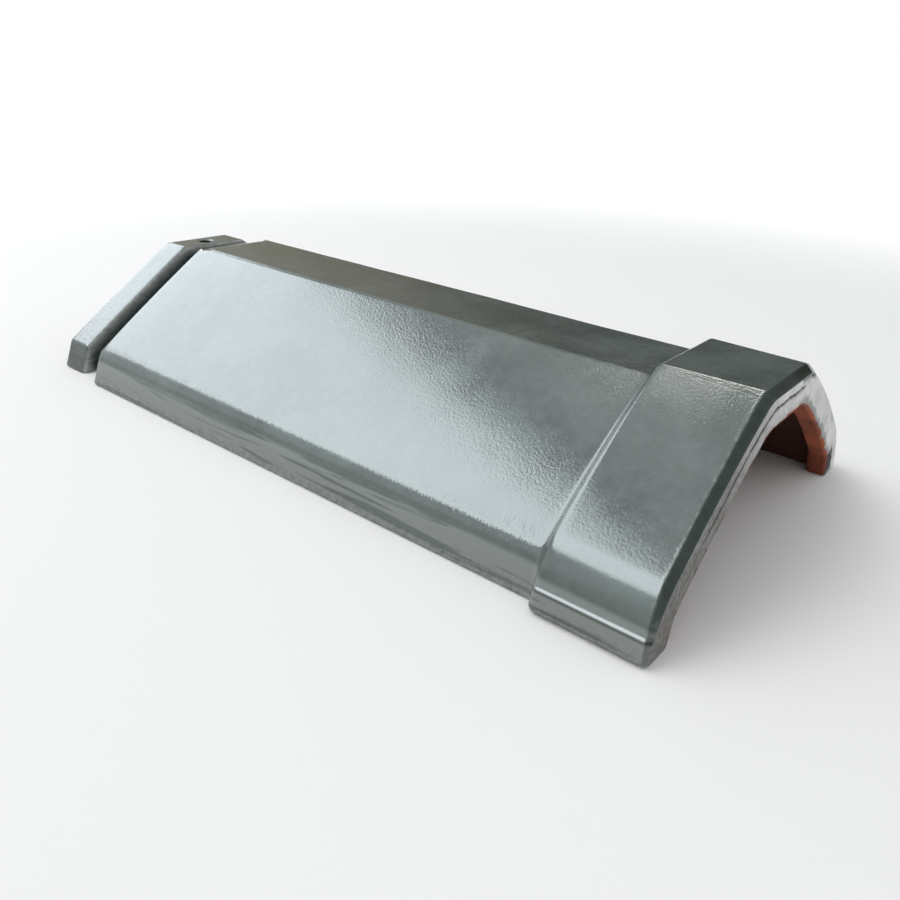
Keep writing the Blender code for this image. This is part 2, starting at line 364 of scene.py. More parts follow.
# Soft hollow of glaze around the nail hole.
HOLLOW_DEPTH, HOLLOW_WITHIN, HOLLOW_BEYOND = 0.9, 0.5, 2.2
from_hole = np.hypot(place_grid - NAIL_HOLE_PLACE, outside[..., 0])
hollow = HOLLOW_DEPTH * fade_over(from_hole, NAIL_HOLE_WIDTH / 2 - HOLLOW_WITHIN,
                                  NAIL_HOLE_WIDTH / 2 + HOLLOW_BEYOND)
outside[..., 1] -= hollow * (part_row == TOP)[None, :]


def both_sides(half):
    """Values of whole rings, from the foot at +Y over the top to the foot at -Y."""
    return np.concatenate([half[:, ::-1], half[:, 1:]], axis=1)


def whole_ring(half):
    """Points of whole rings, with the half at -Y mirrored."""
    ring = both_sides(half)
    ring[:, HALF_RING:, 0] *= -1.0
    return ring


outer_rings, inner_rings = whole_ring(outside), whole_ring(inside)
RING = outer_rings.shape[1]
across = np.concatenate([outer_rings, inner_rings[:, ::-1]], axis=1)
points = np.concatenate([np.repeat(places[:, None, None], 2 * RING, axis=1), across], axis=2)
vertices = points.reshape(-1, 3)
index = np.arange(len(places) * 2 * RING).reshape(len(places), 2 * RING)
nearby = np.roll(index, -1, axis=1)
faces = np.stack([index[:-1], nearby[:-1], nearby[1:], index[1:]], axis=-1).reshape(-1, 4).tolist()

# Distance past the edge of the glaze, in mm: below zero is glazed and above zero is bare clay.
GLAZE_OVER_FOOT, BARE_AT_MOUTH, BARE_AT_SPIGOT, BARE_AT_FEET = 2.0, 0.6, 5.0, 9.0
ring_places = np.repeat(places[:, None], RING, axis=1)
ring_across, ring_height = outer_rings[..., 0], outer_rings[..., 1]
past_outside = -(GLAZE_OVER_FOOT + ring_height)
past_inside = np.minimum(TILE_LENGTH - ring_places + BARE_AT_MOUTH, ring_places + BARE_AT_SPIGOT)
past_inside = np.minimum(past_inside, BARE_AT_FEET + inner_rings[..., 1])

# Darker glaze: pooled glaze with painted shade in the groove, darker low on the rib's skirt, a
# painted dark reflection on the mouth's bevel, and a dark line just under the collar band's ledge.
ring_level = both_sides(outer_level)
in_groove = (blend_over(ring_places, RIB_WIDTH, RIB_WIDTH + 0.5)
             * fade_over(ring_places, BODY_START + 0.2, BODY_START + 1.0))
on_rib = fade_over(ring_places, 17.0, 21.0)
rib_skirt = on_rib * fade_over(ring_height, 14.0, 18.0)
past_bevel = both_sides(past * mouth_width)
far_corner = (ring_height > 60.0) * blend_over(ring_across, -4.0, 20.0)
on_bevel = blend_over(past_bevel, 0.0, 0.6) * (1 - 0.5 * blend_over(past_bevel, 2.6, 4.2))
under_band = peak_at(ring_height, BAND_HEIGHT - BAND_LEDGE - 0.1, 0.55)
pooled_and_shade_outside = in_groove * blend_over(-ring_level, 5.5, 10.0)
pooled_and_shade_outside += 0.55 * rib_skirt
# Painted dark reflection on the mouth's bevel, darkest at its far upper corner.
pooled_and_shade_outside += (0.52 + 0.4 * far_corner) * on_bevel
pooled_and_shade_outside += 0.8 * both_sides(on_collar) * under_band

# Where glaze has broken off along the feet, and painted highlights along the rib's edge and on the
# mouth's bead; and a painted sheen, in the thin coat's light colours, on the rib's wall.
# Painted highlight along the rib's groove-side edge.
broken_and_highlight_outside = 0.8 * peak_at(ring_places, RIB_WIDTH - 0.7, 0.7)
broken_and_highlight_outside += peak_at(ring_height, 0.0, 1.1)
# Painted highlight along the mouth's bead.
broken_and_highlight_outside += 5.0 * both_sides(bead)
# Painted sheen on the upper part of the rib's wall.
rib_wall = (blend_over(ring_places, RIB_WIDTH - 1.6, RIB_WIDTH - 0.4)
            * fade_over(ring_places, RIB_WIDTH + 1.0, RIB_WIDTH + 1.6))
rib_wall_sheen = 0.42 * rib_wall * fade_over(-ring_level, 5.0, 9.5)

# Where dirt has baked in on the spigot and along the feet, and painted shade on the clay inside,
# darkest in the recess behind the lip.
grime_outside = 0.6 * on_rib * fade_over(ring_height, 16.0, 52.0)
grime_outside *= blend_over(ring_places, -1.0, 6.0)
grime_outside += (0.5 * blend_over(ring_places, BODY_START, BODY_START + 2.0)
                  * peak_at(ring_height, 0.0, 5.0))
# Painted shade on the clay inside, darkest in the recess behind the lip.
shaded_inside = fade_over(ring_places, LIP_START - 2.0, LIP_START + 1.0)
shaded_inside *= by_table(ring_places, (RECESS_START - 42.0, 0.25), (RECESS_START - 4.0, 1.0))

nothing = np.zeros_like(past_inside)
traits = {
    "glaze_edge": (past_outside, past_inside),
    "thin_glaze_and_sheen": (rib_wall_sheen, nothing),
    "crack_and_shade": (0.45 * rib_skirt, nothing),
    "pooled_and_shade": (pooled_and_shade_outside, nothing),
    "broken_edge_and_highlight": (broken_and_highlight_outside, nothing),
    "grime_and_shade": (grime_outside, shaded_inside),
}
for name, (outer, inner) in traits.items():
    traits[name] = np.concatenate([outer, inner[:, ::-1]], axis=1).reshape(-1)

# End faces: rows from the outer to the inner edge, with a parting crack in the mouth's face.
CRACK_SHARE = 0.44
CRACK_ROWS = (-0.036, -0.018, 0.0, 0.018, 0.036)
CRACK_DEPTH = 1.1
CRACK_TAPER = 0.4
SPIGOT_FACE_ROWS = (0.3, 0.7)
MOUTH_FACE_ROWS = ((0.03, 0.08, 0.2, 0.33) + tuple(CRACK_SHARE + row for row in CRACK_ROWS)
                   + (0.56, 0.68, 0.8, 0.9, 0.96))
GLAZE_ON_FACE = 0.95
ring_step = np.arange(RING)
mouth_across, mouth_height = outer_rings[-1][:, 0], outer_rings[-1][:, 1]
on_top = (np.abs(mouth_across) < 24.0) & (mouth_height > 60.0)
near_slope = (mouth_across < 0.0) & ~on_top
crack_wander = uneven(ring_step, 0.0, (0.020, 0.33, 0.0), (0.014, 1.13, 0.7))
crack_wander += np.where(near_slope, by_table(mouth_height, (25.0, 0.13), (60.0, 0.0)), 0.0)
crack_wander += np.where(on_top, by_table(mouth_across, (-24.0, 0.0), (-17.0, -0.07)), 0.0)
crack_strength = np.where(on_top, by_table(mouth_across, (-25.0, 0.2), (-22.0, 1.0), (14.0, 1.0),
                                           (22.0, 0.0)), 0.0)
crack_strength = np.where(near_slope, by_table(mouth_height, (16.0, 0.0), (34.0, 0.12), (50.0, 0.8),
                                               (66.0, 1.0)), crack_strength)
crack_strength *= np.clip(uneven(ring_step, 1.0, (0.45, 0.71, 0.0), (0.3, 1.9, 0.0)), 0.25, 1.0)
# Painted shade on the mouth's face, darker towards its near side.
face_shade = by_table(mouth_across, (-106.0, 1.0), (-60.0, 0.92), (-30.0, 0.60), (-22.0, 0.16),
                      (10.0, 0.05), (40.0, 0.0))

# A burnt chip at the mouth's far upper corner, and a burnt patch on the face's far foot.
chipped = (np.abs(mouth_across - 21.0) < 9.0) & (np.sin(ring_step * 2.1) > -0.3)
foot_patch = np.where(mouth_across > 84.0, by_table(mouth_height, (1.0, 0.4), (5.0, 0.9),
                                                    (17.0, 0.9), (25.0, 0.0)), 0.0)
CHIP_END, FOOT_PATCH_START, CHIP_STRENGTH = 0.1, 0.42, 0.9

for end, shares in ((0, SPIGOT_FACE_ROWS), (-1, MOUTH_FACE_ROWS)):
    at_mouth = end == -1
    outer_edge, inner_edge = outer_rings[end], inner_rings[end]
    thickness = np.linalg.norm(outer_edge - inner_edge, axis=1)
    rows = [index[end, :RING]]
    for share in shares:
        from_crack = abs(share - CRACK_SHARE)
        level, depth = share, np.zeros(RING)
        if at_mouth:
            level = share + crack_wander * fade_over(from_crack, CRACK_ROWS[-1] + 0.02, 0.4)
        if at_mouth and from_crack < CRACK_ROWS[-1]:
            depth = crack_strength * CRACK_DEPTH * (1 - CRACK_TAPER * from_crack / CRACK_ROWS[-2])
        darkened = np.where(chipped & at_mouth & (share < CHIP_END), CHIP_STRENGTH, 0.0)
        darkened = np.maximum(darkened, foot_patch * (share > FOOT_PATCH_START))
        row_points = outer_edge + (inner_edge - outer_edge) * np.reshape(level, (-1, 1))
        row_traits = {
            "glaze_edge": -(1 - share) * thickness * GLAZE_ON_FACE,
            "thin_glaze_and_sheen": np.ones(RING),
            "crack_and_shade": np.clip(depth / 0.5 + darkened, 0.0, 1.0),
            "pooled_and_shade": np.zeros(RING),
            "broken_edge_and_highlight": np.zeros(RING),
            "grime_and_shade": face_shade,
        }
        rows.append(np.arange(len(vertices), len(vertices) + RING))
        vertices = np.concatenate([vertices, np.column_stack([places[end] - depth, row_points])])
        for name, values in row_traits.items():
            traits[name] = np.concatenate([traits[name], values])
    rows.append(index[end, RING:][::-1])
    for upper, lower in zip(rows, rows[1:]):
        strip = np.stack([upper[:-1], upper[1:], lower[1:], lower[:-1]], axis=-1)
        faces += (strip[:, ::-1] if at_mouth else strip).tolist()

vertices[:, 0] -= TILE_LENGTH / 2
vertices *= MM
traits["glaze_edge"] = traits["glaze_edge"] * MM


def link_object(name, data):
    obj = bpy.data.objects.new(name, data)
    bpy.context.scene.collection.objects.link(obj)
    return obj


def object_from(name, mesh):
    """A linked object from a bmesh, which is used up."""
    data = bpy.data.meshes.new(name)
    mesh.to_mesh(data)
    mesh.free()
    return link_object(name, data)


def plain_mesh(obj, name):
    """The evaluated object as a plain mesh of its own; the object it came from is removed."""
    bpy.context.view_layer.update()
    evaluated = obj.evaluated_get(bpy.context.evaluated_depsgraph_get())
    data = bpy.data.meshes.new_from_object(evaluated)
    data.name = name
    bpy.data.objects.remove(obj, do_unlink=True)
    return link_object(name, data)


pressed_data = bpy.data.meshes.new("pressed_tile")
pressed_data.from_pydata([tuple(point) for point in vertices], [], faces)
pressed = link_object("pressed_tile", pressed_data)
for name, values in traits.items():
    trait = pressed_data.attributes.new(name, "FLOAT", "POINT")
    trait.data.foreach_set("value", np.asarray(values, np.float32))
skin = bmesh.new()
skin.from_mesh(pressed_data)
bmesh.ops.remove_doubles(skin, verts=skin.verts, dist=0.000005)
bmesh.ops.recalc_face_normals(skin, faces=skin.faces)
skin.to_mesh(pressed_data)
skin.free()

# The nail hole, punched through the rib. Its glazed bore is painted dark with shade, darkest on the
# side towards the spigot's end.
BORE_BOTTOM, BORE_CLEARANCE, BORE_GLAZE = 0.052, 0.05, -0.008
HOLE_SHADE_WITHIN, HOLE_SHADE_NEAR, HOLE_SHADE_FAR = 2.0, 1.0, 0.3
hole_place = (NAIL_HOLE_PLACE - TILE_LENGTH / 2) * MM
nail = bmesh.new()
bmesh.ops.create_cone(nail, cap_ends=True, segments=40, depth=0.05,
                      radius1=NAIL_HOLE_WIDTH / 2 * MM, radius2=NAIL_HOLE_WIDTH / 2 * MM)
bmesh.ops.translate(nail, verts=nail.verts, vec=(hole_place, 0.0, BODY_HEIGHT * MM))
nail_cutter = object_from("nail_cutter", nail)
cut = pressed.modifiers.new("nail_hole", "BOOLEAN")
cut.operation = "DIFFERENCE"
cut.solver = "EXACT"
cut.object = nail_cutter
pierced = plain_mesh(pressed, "pierced_tile")
bpy.data.objects.remove(nail_cutter, do_unlink=True)
bore = pierced.data
bore_traits = (bore.attributes[name].data for name in ("glaze_edge", "pooled_and_shade", "crack_and_shade"))
for vertex, glazed, pool_and_shade, darkened in zip(bore.vertices, *bore_traits):
    from_axis = vertex.co.x - hole_place
    away = math.hypot(from_axis, vertex.co.y)
    if away < (NAIL_HOLE_WIDTH / 2 + BORE_CLEARANCE) * MM and vertex.co.z > BORE_BOTTOM:
        glazed.value = BORE_GLAZE
        pool_and_shade.value = 1.0
        # Painted shade in the bore, darker on the side towards the spigot's end.
        darkened.value = HOLE_SHADE_NEAR if from_axis < HOLE_SHADE_WITHIN * MM else HOLE_SHADE_FAR


def new_tree(name, kind, inputs, outputs):
    """A node group with its named inputs and outputs, and its two end nodes."""
    tree = bpy.data.node_groups.new(name, kind)
    for socket_name, socket_type, default in inputs:
        socket = tree.interface.new_socket(socket_name, in_out="INPUT", socket_type=socket_type)
        if default is not None:
            socket.default_value = default
    for socket_name, socket_type in outputs:
        tree.interface.new_socket(socket_name, in_out="OUTPUT", socket_type=socket_type)
    return tree, tree.nodes.new("NodeGroupInput"), tree.nodes.new("NodeGroupOutput")


def place_node(tree, kind, settings=None, inputs=None):
    """A node with its settings, and its inputs as fixed values or as the sockets that feed them."""
    node = tree.nodes.new(kind)
    for name, value in (settings or {}).items():
        setattr(node, name, value)
    for name, value in (inputs or {}).items():
        if isinstance(value, bpy.types.NodeSocket):
            tree.links.new(value, node.inputs[name])
        else:
            node.inputs[name].default_value = value
    return node


def math_node(tree, operation, first, second):
    node = place_node(tree, "ShaderNodeMath", {"operation": operation}, {0: first, 1: second})
    return node.outputs[0]


def times(tree, product, *others):
    """The product of values and sockets."""
    for other in others:
        product = math_node(tree, "MULTIPLY", product, other)
    return product


def soft_steps(tree, value, start, end, low=0.0, high=1.0):
    """A value mapped softly from start..end to low..high."""
    node = place_node(tree, "ShaderNodeMapRange", {"interpolation_type": "SMOOTHSTEP"},
                      {"Value": value, "From Min": start, "From Max": end,
                       "To Min": low, "To Max": high})
    return node.outputs["Result"]


def noise_at(tree, vector, scale, detail=2.0, roughness=0.5, distortion=0.0):
    node = place_node(tree, "ShaderNodeTexNoise", None,
                      {"Vector": vector, "Scale": scale, "Detail": detail, "Roughness": roughness,
                       "Distortion": distortion})
    return node.outputs[0]


glaze_over_clay = bpy.data.materials.new("glaze_over_red_clay")
glaze_over_clay.use_nodes = True

# The glaze and the clay leave a slightly wavy skin: slow sags, fine ripples and pressed clay.
relief, relief_in, relief_out = new_tree("Fired Skin Relief", "GeometryNodeTree", [
    ("Geometry", "NodeSocketGeometry", None),
    ("Sag Height", "NodeSocketFloat", 0.0005),
    ("Sag Size", "NodeSocketFloat", 0.06),
    ("Ripple Height", "NodeSocketFloat", 0.0001),
    ("Ripple Size", "NodeSocketFloat", 0.012),
    ("Clay Height", "NodeSocketFloat", 0.0004),
    ("Clay Size", "NodeSocketFloat", 0.006),
    ("Bare Edge", "NodeSocketFloat", 0.002),
    ("Foot Edge", "NodeSocketFloat", 0.003),
    ("Surface", "NodeSocketMaterial", None),
], [("Geometry", "NodeSocketGeometry")])
where = place_node(relief, "GeometryNodeInputPosition").outputs[0]
outward = place_node(relief, "GeometryNodeInputNormal").outputs[0]
edge_value = place_node(relief, "GeometryNodeInputNamedAttribute", {"data_type": "FLOAT"},
                        {"Name": "glaze_edge"}).outputs["Attribute"]
bare_share = soft_steps(relief, edge_value, 0.0, relief_in.outputs["Bare Edge"])
glazed_share = math_node(relief, "SUBTRACT", 1.0, bare_share)
push = 0.0
for wave, detail, where_found in (("Sag", 1.0, 1.0), ("Ripple", 1.0, glazed_share),
                                  ("Clay", 3.0, bare_share)):
    scale = math_node(relief, "DIVIDE", 1.0, relief_in.outputs[wave + " Size"])
    centred = math_node(relief, "SUBTRACT", noise_at(relief, where, scale, detail), 0.5)
    rise = times(relief, centred, relief_in.outputs[wave + " Height"], where_found)
    push = math_node(relief, "ADD", push, rise)
above_ground = place_node(relief, "ShaderNodeSeparateXYZ", None, {"Vector": where}).outputs["Z"]
push = times(relief, push, soft_steps(relief, above_ground, 0.0002, relief_in.outputs["Foot Edge"]))
move = place_node(relief, "ShaderNodeVectorMath", {"operation": "SCALE"},
                  {0: outward, "Scale": push})
shifted = place_node(relief, "GeometryNodeSetPosition", None,
                     {"Geometry": relief_in.outputs["Geometry"], "Offset": move.outputs[0]})
real = place_node(relief, "GeometryNodeRealizeInstances", None, {"Geometry": shifted.outputs[0]})
dressed = place_node(relief, "GeometryNodeSetMaterial", None,
                     {"Geometry": real.outputs[0], "Material": relief_in.outputs["Surface"]})
relief.links.new(dressed.outputs[0], relief_out.inputs["Geometry"])

fired_skin = pierced.modifiers.new("fired_skin", "NODES")
fired_skin.node_group = relief
relief_sockets = {item.name: item.identifier for item in relief.interface.items_tree
                  if item.item_type == "SOCKET" and item.in_out == "INPUT"}
for input_name, value in (("Sag Height", 0.0007), ("Sag Size", 0.075), ("Ripple Height", 0.00010),
                          ("Ripple Size", 0.013), ("Clay Height", 0.0005), ("Clay Size", 0.007),
                          ("Bare Edge", 0.002), ("Foot Edge", 0.003),
                          ("Surface", glaze_over_clay)):
    fired_skin[relief_sockets[input_name]] = value
tile = plain_mesh(pierced, "glazed_tile")
tile.data.shade_smooth()
tile.data.set_sharp_from_angle(angle=math.radians(55))


def mix_colour(tree, share, first, second, blend="MIX"):
    node = place_node(tree, "ShaderNodeMix", {"data_type": "RGBA", "blend_type": blend},
                      {0: share, 6: first, 7: second})
    return node.outputs[2]


def mix_value(tree, share, first, second):
    node = place_node(tree, "ShaderNodeMix", {"data_type": "FLOAT"},
                      {0: share, 2: first, 3: second})
    return node.outputs[0]


def spots_at(tree, vector, scale, radius, share):
    """Mask of small round spots in some cells of a random grid."""
    cells = place_node(tree, "ShaderNodeTexVoronoi", {"feature": "F1"},
                       {"Vector": vector, "Scale": scale})
    near = soft_steps(tree, cells.outputs["Distance"], radius * 0.55, radius, 1.0, 0.0)
    picked = place_node(tree, "ShaderNodeSeparateColor", None, {"Color": cells.outputs["Color"]})
    return times(tree, near, math_node(tree, "LESS_THAN", picked.outputs[0], share))


# Soft clouds of two colours, for the thick glaze, and for its thin coat on the mouth's face and the
# painted sheen on the rib's wall.
clouds, clouds_in, clouds_out = new_tree("Glaze Clouds", "ShaderNodeTree", [
    ("Vector", "NodeSocketVector", None),
    ("Cloud Scale", "NodeSocketFloat", 40.0),
    ("Dark", "NodeSocketColor", (0.05, 0.07, 0.065, 1.0)),
    ("Light", "NodeSocketColor", (0.10, 0.13, 0.125, 1.0)),
], [("Color", "NodeSocketColor"), ("Cloud", "NodeSocketFloat")])
cloud_vector, cloud_scale = clouds_in.outputs["Vector"], clouds_in.outputs["Cloud Scale"]
big = noise_at(clouds, cloud_vector, cloud_scale, 4.0, 0.55, 0.6)
small = noise_at(clouds, cloud_vector, times(clouds, cloud_scale, 9.0), 3.0, 0.6)
mixed = math_node(clouds, "ADD", times(clouds, big, 0.72), times(clouds, small, 0.28))
cloud_mask = soft_steps(clouds, mixed, 0.32, 0.68)
cloud_colour = mix_colour(clouds, cloud_mask, clouds_in.outputs["Dark"], clouds_in.outputs["Light"])
clouds.links.new(cloud_colour, clouds_out.inputs["Color"])
clouds.links.new(cloud_mask, clouds_out.inputs["Cloud"])

# The glaze's fine dimples, like the skin of an orange.
peel, peel_in, peel_out = new_tree("Orange Peel", "ShaderNodeTree", [
    ("Vector", "NodeSocketVector", None),
    ("Peel Scale", "NodeSocketFloat", 420.0),
], [("Height", "NodeSocketFloat")])
peel_vector, peel_scale = peel_in.outputs["Vector"], peel_in.outputs["Peel Scale"]
coarse = noise_at(peel, peel_vector, peel_scale, 1.5, 0.45)
fine = noise_at(peel, peel_vector, times(peel, peel_scale, 2.3), 1.0)
peel.links.new(math_node(peel, "ADD", times(peel, coarse, 0.75), times(peel, fine, 0.25)),
               peel_out.inputs["Height"])

# Colours of the glaze, of its thin coat on the mouth's face, and of the bare red clay; some also
# serve as painted shade, painted highlights and a painted sheen.
GLAZE_DARK = (0.066, 0.083, 0.078, 1.0)
GLAZE_LIGHT = (0.102, 0.127, 0.120, 1.0)
# Near-black, for pooled glaze and for painted shade and painted dark reflection.
GLAZE_POOLED_AND_SHADE = (0.012, 0.019, 0.015, 1.0)
GLAZE_SMEARED = (0.215, 0.235, 0.222, 1.0)
# Light grey, for broken glaze and for painted highlights.
GLAZE_BROKEN_AND_HIGHLIGHT = (0.33, 0.35, 0.325, 1.0)
GLAZE_GREEN = (0.045, 0.062, 0.040, 1.0)
# The thin coat's colours, also used for the painted sheen on the rib's wall.
THIN_COAT_AND_SHEEN_DARK = (0.31, 0.31, 0.305, 1.0)
THIN_COAT_AND_SHEEN_LIGHT = (0.66, 0.67, 0.655, 1.0)
# Near-black, for cracks and for painted shade in the nail hole.
CRACK_AND_SHADE_COLOUR = (0.008, 0.010, 0.007, 1.0)
PINHOLE_COLOUR = (0.02, 0.018, 0.014, 1.0)
SPECK_COLOUR = (0.42, 0.43, 0.40, 1.0)
CLAY_DARK = (0.17, 0.034, 0.011, 1.0)
CLAY_LIGHT = (0.42, 0.095, 0.033, 1.0)
# Painted shade on the bare clay inside and on the mouth's face.
CLAY_SHADE_AND_GRIME = (0.075, 0.021, 0.009, 1.0)
# Painted shade on the mouth's thin coat.
FACE_SHADE = (0.074, 0.072, 0.062, 1.0)
GLAZE_GRIME = (0.040, 0.044, 0.036, 1.0)

# Cells of each pattern to the metre.
EDGE_CELLS = 150.0
CLOUD_CELLS = 26.0
THIN_CLOUD_CELLS = 90.0
PINHOLE_CELLS = 75.0
SPECK_CELLS = 120.0
DIRT_CELLS = 420.0
BROKEN_CELLS = 330.0
CLAY_CLOUD_CELLS = 35.0
CLAY_GRAIN_CELLS = 900.0
CLAY_BUMP_CELLS = 700.0
PEEL_CELLS = 820.0
STREAK_CELLS = (9.0, 40.0, 175.0)
DRIP_CELLS = (900.0, 40.0, 330.0)

# Heights of the bumps in the skin, counted in BUMP_UNIT, and how far the glaze's edge wanders.
BUMP_UNIT = 0.00010
STREAK_HEIGHT = 3.4
DRIP_HEIGHT = 2.6
CLAY_BUMP_HEIGHT = 4.0
EDGE_WANDER = 0.006

# Spans in metres over which an effect comes or goes: past the glaze's edge, up from the feet, or
# along the ridge from its middle.
BARE_EDGE = (-0.0005, 0.0005)
RIM_STARTS, RIM_ENDS = (-0.0040, -0.0014), (-0.0004, 0.0004)
STREAKS_END = (0.0125, 0.0155)
PEEL_STARTS, PEEL_GROWS, PEEL_ON_COLLAR = (0.020, 0.036), (0.056, 0.068), (0.145, 0.160)
DRIPS_START, DRIPS_END = (0.014, 0.017), (0.0205, 0.0270)
DRIPS_FROM_GROOVE, DRIPS_TO_COLLAR = (-0.166, -0.160), (0.140, 0.155)

tree = glaze_over_clay.node_tree
shader = tree.nodes["Principled BSDF"]
coordinates = place_node(tree, "ShaderNodeTexCoord").outputs["Object"]
edge, thin_coat_and_sheen, crack_and_shade_line, pool_and_shade, broken_edge_and_highlight, grime_and_shade_share = (
    place_node(tree, "ShaderNodeAttribute", {"attribute_name": name}).outputs["Fac"]
    for name in ("glaze_edge", "thin_glaze_and_sheen", "crack_and_shade", "pooled_and_shade", "broken_edge_and_highlight", "grime_and_shade"))
split_place = place_node(tree, "ShaderNodeSeparateXYZ", None, {"Vector": coordinates})
position_along, position_across, height_up = (split_place.outputs[axis] for axis in "XYZ")

# The ragged edge of the glaze, with a rim where it has pooled just before the bare clay.
ragged = math_node(tree, "SUBTRACT", noise_at(tree, coordinates, EDGE_CELLS), 0.5)
ragged_edge = math_node(tree, "ADD", edge, times(tree, ragged, EDGE_WANDER))
bare = soft_steps(tree, ragged_edge, *BARE_EDGE)
pooled_rim = times(tree, soft_steps(tree, ragged_edge, *RIM_STARTS),
                   soft_steps(tree, ragged_edge, *RIM_ENDS, 1.0, 0.0))

# Streaks that were wiped along the skirts, below the eave.
streaks = place_node(tree, "ShaderNodeMapping", None,
                     {"Scale": STREAK_CELLS, "Vector": coordinates}).outputs[0]
wavy = noise_at(tree, streaks, 1.0, 2.5, 0.55, 0.8)
below_eave = soft_steps(tree, height_up, *STREAKS_END, 1.0, 0.0)
streak_height = times(tree, wavy, times(tree, below_eave, STREAK_HEIGHT))
smeared = times(tree, soft_steps(tree, wavy, 0.37, 0.47), below_eave)

# Colour: clouds, streaks, the thin coat and the rib wall's painted sheen, pinholes and specks, dirt
# and the face's painted shade, a green rim, pools with painted shade and dark reflection, broken
# edges with painted highlights, and cracks with the nail hole's painted shade.
glaze_clouds = place_node(tree, "ShaderNodeGroup", {"node_tree": clouds},
                          {"Cloud Scale": CLOUD_CELLS, "Dark": GLAZE_DARK, "Light": GLAZE_LIGHT,
                           "Vector": coordinates})
thin_coat_and_sheen_clouds = place_node(tree, "ShaderNodeGroup", {"node_tree": clouds},
                         {"Cloud Scale": THIN_CLOUD_CELLS, "Dark": THIN_COAT_AND_SHEEN_DARK, "Light": THIN_COAT_AND_SHEEN_LIGHT,
                          "Vector": coordinates})
pinholes = spots_at(tree, coordinates, PINHOLE_CELLS, 0.045, 0.10)
pale_specks = spots_at(tree, coordinates, SPECK_CELLS, 0.05, 0.06)
dirty = soft_steps(tree, noise_at(tree, coordinates, DIRT_CELLS, 4.0, 0.7), 0.44, 0.60)
face_shade_and_dirt = times(tree, grime_and_shade_share, mix_value(tree, dirty, 0.82, 1.0))
glaze_dirt = times(tree, grime_and_shade_share, dirty)
far_rim = times(tree, pooled_rim, soft_steps(tree, position_across, 0.0, 0.03, 0.12, 0.95))
patchy = soft_steps(tree, noise_at(tree, coordinates, BROKEN_CELLS, 3.0, 0.6), 0.45, 0.62)
glaze_colour = glaze_clouds.outputs["Color"]
for share, layer in ((times(tree, smeared, 0.8), GLAZE_SMEARED),
                     # The thin coat, and the painted sheen on the rib's wall.
                     (thin_coat_and_sheen, thin_coat_and_sheen_clouds.outputs["Color"]),
                     (pinholes, PINHOLE_COLOUR),
                     (times(tree, pale_specks, 0.7), SPECK_COLOUR),
                     # Dirt, and painted shade on the mouth's face.
                     (mix_value(tree, thin_coat_and_sheen, glaze_dirt, face_shade_and_dirt),
                      mix_colour(tree, thin_coat_and_sheen, GLAZE_GRIME, FACE_SHADE)),
                     (far_rim, GLAZE_GREEN),
                     # Pooled glaze, painted shade and painted dark reflection.
                     (times(tree, pool_and_shade, 0.9), GLAZE_POOLED_AND_SHADE),
                     # Broken glaze, and painted highlights on the rib's edge and the bead.
                     (times(tree, broken_edge_and_highlight, patchy), GLAZE_BROKEN_AND_HIGHLIGHT),
                     # Cracks, and painted shade in the nail hole.
                     (crack_and_shade_line, CRACK_AND_SHADE_COLOUR)):
    glaze_colour = mix_colour(tree, share, glaze_colour, layer)

clay_noise = noise_at(tree, coordinates, CLAY_CLOUD_CELLS, 5.0, 0.6)
clay_colour = mix_colour(tree, soft_steps(tree, clay_noise, 0.3, 0.7), CLAY_DARK, CLAY_LIGHT)
# Painted shade on the clay inside and on the mouth's face.
clay_colour = mix_colour(tree, grime_and_shade_share, clay_colour, CLAY_SHADE_AND_GRIME)
clay_grain = soft_steps(tree, noise_at(tree, coordinates, CLAY_GRAIN_CELLS, 3.0), 0.35, 0.65,
                        0.75, 1.1)
clay_colour = mix_colour(tree, 1.0, clay_colour, clay_grain, "MULTIPLY")
tree.links.new(mix_colour(tree, bare, glaze_colour, clay_colour), shader.inputs["Base Color"])

# Gloss: high on the glaze, lower on its thin coat and where it is dirty, and none on bare clay.
glaze_roughness = mix_value(tree, glaze_clouds.outputs["Cloud"], 0.11, 0.18)
for share, roughness in ((thin_coat_and_sheen, 0.30), (glaze_dirt, 0.40), (crack_and_shade_line, 0.85), (bare, 0.88)):
    glaze_roughness = mix_value(tree, share, glaze_roughness, roughness)
tree.links.new(glaze_roughness, shader.inputs["Roughness"])
shader.inputs["IOR"].default_value = 1.6

# Bumps: orange peel that is weaker low on the slopes and on the collar, streaks on the skirts,
# short drips along the eaves, and the grain of the bare clay.
peel_node = place_node(tree, "ShaderNodeGroup", {"node_tree": peel},
                       {"Peel Scale": PEEL_CELLS, "Vector": coordinates})
peel_share = times(tree, soft_steps(tree, height_up, *PEEL_STARTS, 0.25, 1.0),
                   soft_steps(tree, position_along, *PEEL_ON_COLLAR, 1.0, 0.6),
                   soft_steps(tree, height_up, *PEEL_GROWS, 1.0, 1.6))
drips = place_node(tree, "ShaderNodeMapping", None,
                   {"Scale": DRIP_CELLS, "Vector": coordinates}).outputs[0]
drip_share = times(tree, soft_steps(tree, height_up, *DRIPS_START),
                   soft_steps(tree, height_up, *DRIPS_END, DRIP_HEIGHT, 0.0),
                   soft_steps(tree, position_along, *DRIPS_FROM_GROOVE),
                   soft_steps(tree, position_along, *DRIPS_TO_COLLAR, 1.0, 0.12))
drip_height = times(tree, noise_at(tree, drips, 1.0), drip_share)
glaze_height = math_node(tree, "ADD", times(tree, peel_node.outputs["Height"], peel_share),
                         math_node(tree, "ADD", streak_height, drip_height))
clay_height = times(tree, noise_at(tree, coordinates, CLAY_BUMP_CELLS, 5.0, 0.65), CLAY_BUMP_HEIGHT)
